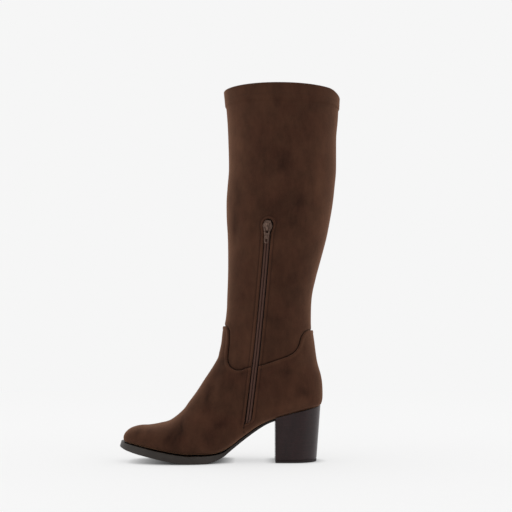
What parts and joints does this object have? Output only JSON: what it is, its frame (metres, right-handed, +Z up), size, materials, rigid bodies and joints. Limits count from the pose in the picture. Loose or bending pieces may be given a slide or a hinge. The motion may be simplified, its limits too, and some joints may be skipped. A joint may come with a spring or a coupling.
{
  "type": "knee-high boot",
  "caption": "Knee-high suede boot for the right foot with a block heel, a half-height inner zip and a hollow shaft open at the collar.",
  "frame": {"origin": "on the floor, below the middle of the boot's bounding box", "axes": "+Z up, -X towards the toe, -Y towards the inner side of the leg, where the zip is"},
  "size_m": [0.2632, 0.106, 0.442],
  "materials": {
    "suede": "dark brown stretch microfibre suede",
    "insole": "matt brown sock lining",
    "sole": "satin dark grey-brown",
    "heel": "dark stacked look with fine lines, satin",
    "tip": "matt black-brown",
    "zip": "woven tape and nylon coil in dark brown",
    "metal": "brownish gunmetal"
  },
  "bodies": {
    "root": {"upper": "suede", "shaft": "suede", "insole": "insole", "outsole": "sole", "heel": "heel", "heel_tip": "tip", "zip_tape_front": "zip", "zip_tape_back": "zip", "zip_coil_front": "zip", "zip_coil_back": "zip", "zip_slider": "metal"},
    "pull": {"zip_pull": "metal"}
  },
  "joints": [
    {"name": "pull_swing", "type": "hinge", "parent": "root", "child": "pull", "pos_m": [0.04388, -0.05025, 0.27391], "axis": [-0.9841, 0.1559, 0.0853], "range_deg": [0, 165]}
  ]
}
